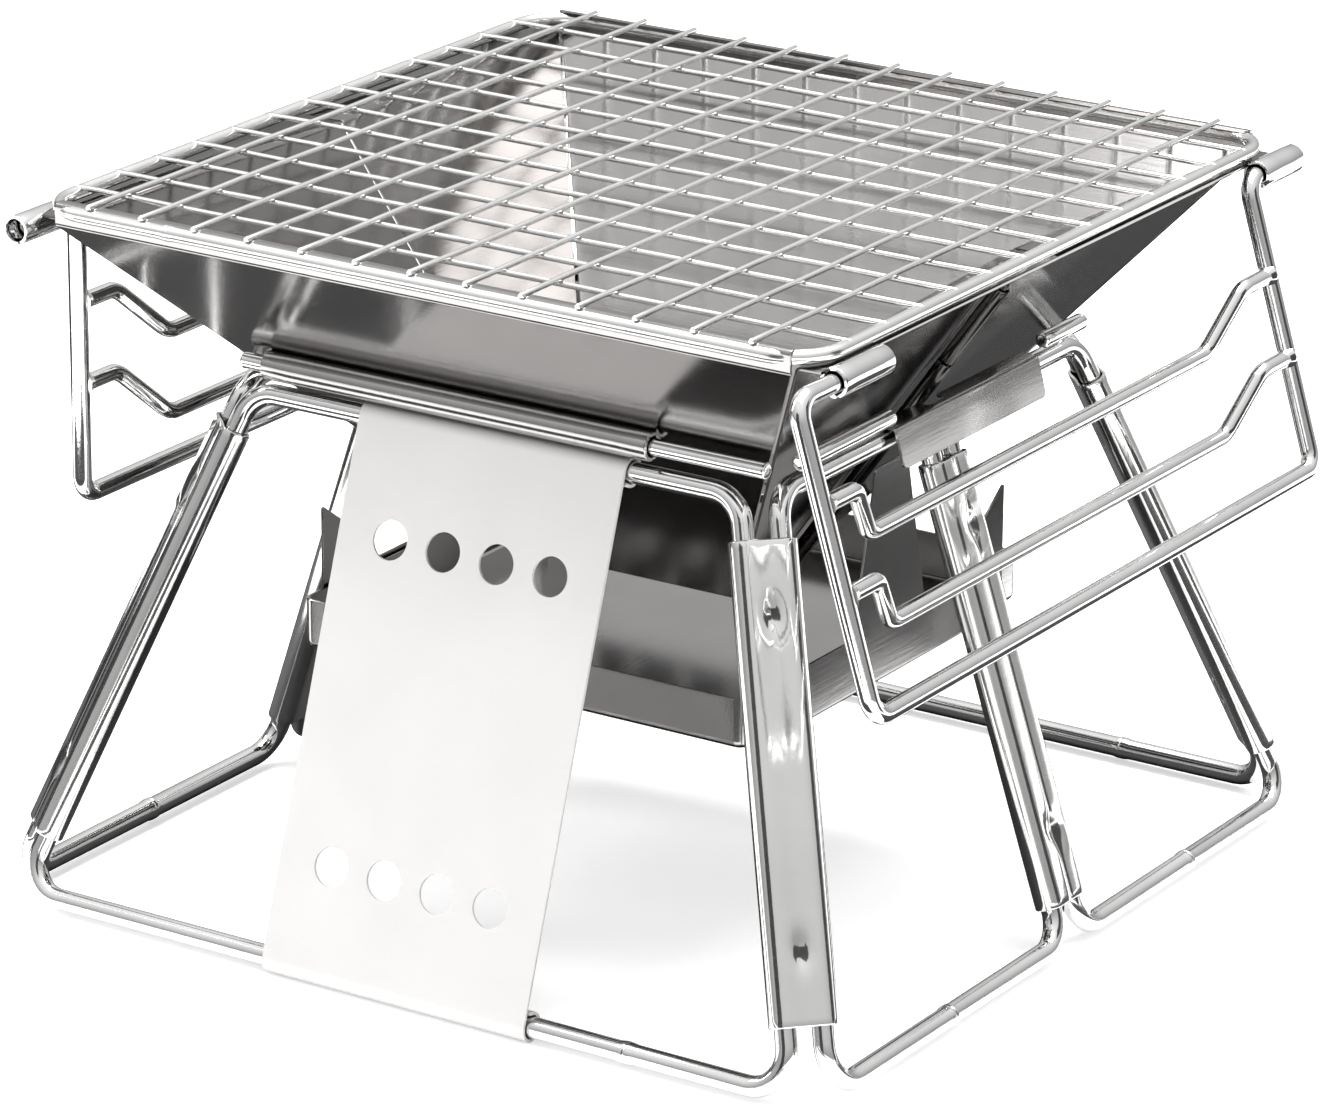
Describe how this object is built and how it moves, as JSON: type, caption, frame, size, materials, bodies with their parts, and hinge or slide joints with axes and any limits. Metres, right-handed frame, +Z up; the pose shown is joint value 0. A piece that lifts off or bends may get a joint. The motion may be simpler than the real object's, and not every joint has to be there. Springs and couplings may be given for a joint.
{
  "type": "folding camp grill",
  "caption": "Tabletop charcoal grill on a folding wire stand, with a square funnel bowl, cooking net, ash tray and swinging wire wings.",
  "frame": {"origin": "on the ground, under the middle of the stand", "axes": "+X to the right along the front plate's side, +Y from the front plate to the back, +Z up"},
  "size_m": [0.2434, 0.2322, 0.1704],
  "materials": {
    "polished_wire": "polished stainless wire and rolled sheet",
    "satin_sheet": "satin brushed stainless sheet",
    "bowl_sheet": "bright rolled stainless sheet that mirrors dark surroundings",
    "tray_sheet": "smooth stainless sheet"
  },
  "bodies": {
    "stand_front": {"front_frame": "polished_wire", "front_plate": "satin_sheet", "front_right_sleeve": "polished_wire", "front_left_sleeve": "polished_wire"},
    "right_front_half": {"right_front_half_frame": "polished_wire"},
    "right_middle": {"right_middle_sleeve": "polished_wire"},
    "right_back_half": {"right_back_half_frame": "polished_wire"},
    "stand_back": {"back_frame": "polished_wire", "back_right_sleeve": "polished_wire", "back_left_sleeve": "polished_wire"},
    "left_front_half": {"left_front_half_frame": "polished_wire"},
    "left_middle": {"left_middle_sleeve": "polished_wire"},
    "left_back_half": {"left_back_half_frame": "polished_wire"},
    "bowl": {"bowl_front_wall": "bowl_sheet", "bowl_back_wall": "bowl_sheet", "right_front_gusset": "bowl_sheet", "right_back_gusset": "bowl_sheet", "left_front_gusset": "bowl_sheet", "left_back_gusset": "bowl_sheet", "right_crease_pin": "polished_wire", "left_crease_pin": "polished_wire", "front_rest_rod": "polished_wire", "front_rest_tube": "bowl_sheet", "back_rest_rod": "polished_wire", "back_rest_tube": "bowl_sheet", "right_front_rest_rod": "polished_wire", "right_back_rest_rod": "polished_wire", "left_front_rest_rod": "polished_wire", "left_back_rest_rod": "polished_wire", "right_saddle": "tray_sheet", "left_saddle": "tray_sheet", "right_tray_hanger": "tray_sheet", "left_tray_hanger": "tray_sheet"},
    "net": {"cooking_net": "polished_wire"},
    "grate": {"charcoal_grate": "tray_sheet"},
    "tray": {"ash_tray": "tray_sheet"},
    "right_wing": {"right_wing_frame": "polished_wire", "right_wing_upper_bar": "polished_wire", "right_wing_lower_bar": "polished_wire"},
    "left_wing": {"left_wing_frame": "polished_wire", "left_wing_upper_bar": "polished_wire", "left_wing_lower_bar": "polished_wire"}
  },
  "joints": [
    {"name": "bowl_lift", "type": "slide", "parent": "stand_front", "child": "bowl", "axis": [0, 0, 1], "range_m": [0, 0.93]},
    {"name": "right_front_hinge", "type": "hinge", "parent": "stand_front", "child": "right_front_half", "pos_m": [0.072, -0.066, 0.1231], "axis": [-0.3025, 0.3025, 0.9038], "range_deg": [0, 90.5]},
    {"name": "right_middle_front_hinge", "type": "hinge", "parent": "right_front_half", "child": "right_middle", "pos_m": [0.072, -0.00424, 0.1231], "axis": [-0.3174, 0, 0.9483], "range_deg": [-85, 0]},
    {"name": "right_middle_back_hinge", "type": "hinge", "parent": "right_middle", "child": "right_back_half", "pos_m": [0.072, 0.00424, 0.1231], "axis": [-0.3174, 0, 0.9483], "range_deg": [-85, 0]},
    {"name": "right_back_hinge", "type": "hinge", "parent": "right_back_half", "child": "stand_back", "pos_m": [0.072, 0.066, 0.1231], "axis": [-0.3025, -0.3025, 0.9038], "range_deg": [0, 90.5]},
    {"name": "left_front_hinge", "type": "hinge", "parent": "stand_front", "child": "left_front_half", "pos_m": [-0.072, -0.066, 0.1231], "axis": [0.3025, 0.3025, 0.9038], "range_deg": [-90.5, 0]},
    {"name": "left_middle_front_hinge", "type": "hinge", "parent": "left_front_half", "child": "left_middle", "pos_m": [-0.072, -0.00424, 0.1231], "axis": [0.3174, 0, 0.9483], "range_deg": [0, 85]},
    {"name": "left_middle_back_hinge", "type": "hinge", "parent": "left_middle", "child": "left_back_half", "pos_m": [-0.072, 0.00424, 0.1231], "axis": [0.3174, 0, 0.9483], "range_deg": [0, 85]},
    {"name": "net_lift", "type": "slide", "parent": "bowl", "child": "net", "axis": [0, 0, 1], "range_m": [0, 0.08]},
    {"name": "grate_lift", "type": "slide", "parent": "bowl", "child": "grate", "axis": [0, 0, 1], "range_m": [0, 0.045]},
    {"name": "tray_slide", "type": "slide", "parent": "bowl", "child": "tray", "axis": [0, 1, 0], "range_m": [0, 0.13]},
    {"name": "right_wing_swing", "type": "hinge", "parent": "bowl", "child": "right_wing", "pos_m": [0.106, 0, 0.1636], "axis": [0, -1, 0], "range_deg": [-17, 103]},
    {"name": "left_wing_swing", "type": "hinge", "parent": "bowl", "child": "left_wing", "pos_m": [-0.106, 0, 0.1636], "axis": [0, 1, 0], "range_deg": [0, 120]}
  ],
  "couplings": [
    {"joint": "right_front_hinge", "follows": "bowl_lift", "rad_per_m": 1.689},
    {"joint": "right_middle_front_hinge", "follows": "bowl_lift", "rad_per_m": -1.5826},
    {"joint": "right_middle_back_hinge", "follows": "bowl_lift", "rad_per_m": -1.5826},
    {"joint": "right_back_hinge", "follows": "bowl_lift", "rad_per_m": 1.689},
    {"joint": "left_front_hinge", "follows": "bowl_lift", "rad_per_m": -1.689},
    {"joint": "left_middle_front_hinge", "follows": "bowl_lift", "rad_per_m": 1.5826},
    {"joint": "left_middle_back_hinge", "follows": "bowl_lift", "rad_per_m": 1.5826}
  ]
}
